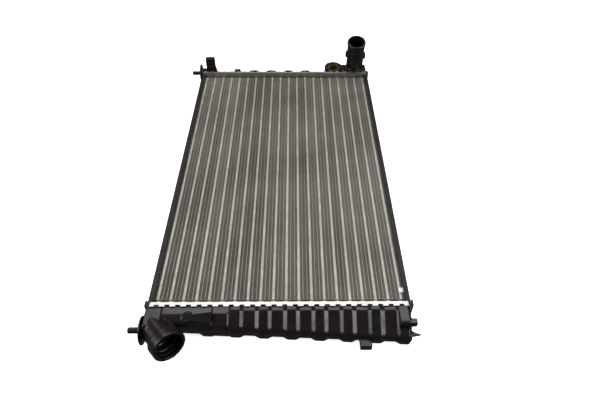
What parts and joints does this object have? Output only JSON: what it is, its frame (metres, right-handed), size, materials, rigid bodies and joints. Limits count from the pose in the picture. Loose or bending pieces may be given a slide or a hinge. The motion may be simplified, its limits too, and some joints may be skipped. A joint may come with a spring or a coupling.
{
  "type": "car radiator",
  "caption": "Cross-flow engine radiator with round tubes, flat fins, crimped plastic tanks, hose connections, locating pins, drain tap and bleed screw.",
  "frame": {"origin": "bottom centre of the whole radiator lying flat on its tank bands, engine side up", "axes": "+X across the tubes towards the edge that is uppermost in the car, +Y along the tubes from the outlet tank to the inlet tank, +Z towards the engine"},
  "size_m": [0.4166, 0.7445, 0.1169],
  "materials": {
    "fins": "satin",
    "tubes": "satin",
    "turbulators": "matte",
    "header": "satin",
    "rubber": "matte",
    "tank_plastic": "semi-gloss",
    "side_plate_plastic": "matte",
    "clip_plastic": "semi-matte",
    "tap_plastic": "semi-gloss",
    "brass": "machined",
    "label": "matte"
  },
  "bodies": {
    "radiator": {"fin_pack": "fins", "tubes_upper_row": "tubes", "tubes_lower_row": "tubes", "turbulators_upper_row": "turbulators", "turbulators_lower_row": "turbulators", "near_header": "header", "far_header": "header", "near_gasket": "rubber", "far_gasket": "rubber", "outlet_tank": "tank_plastic", "inlet_tank": "tank_plastic", "lower_side_plate": "side_plate_plastic", "upper_side_plate": "side_plate_plastic", "side_plate_clips": "clip_plastic", "switch_insert": "brass", "label": "label"},
    "drain_tap": {"drain_tap": "tap_plastic", "drain_o_ring": "rubber"},
    "bleed_ring": {"bleed_o_ring": "rubber"},
    "bleed_screw": {"bleed_screw": "tap_plastic"}
  },
  "joints": [
    {"name": "drain_turn", "type": "hinge", "parent": "radiator", "child": "drain_tap", "pos_m": [-0.12025, -0.31631, 0.03558], "axis": [0, -0.5, 0.866], "range_deg": [0, 90]},
    {"name": "bleed_lift", "type": "slide", "parent": "radiator", "child": "bleed_ring", "axis": [0, 0.5, 0.866], "range_m": [0, 0.006]},
    {"name": "bleed_turn", "type": "hinge", "parent": "bleed_ring", "child": "bleed_screw", "pos_m": [-0.10175, 0.34144, 0.03024], "axis": [0, 0.5, 0.866], "range_deg": [0, 1440]}
  ],
  "couplings": [
    {"joint": "bleed_turn", "follows": "bleed_lift", "rad_per_m": 4188.8}
  ]
}
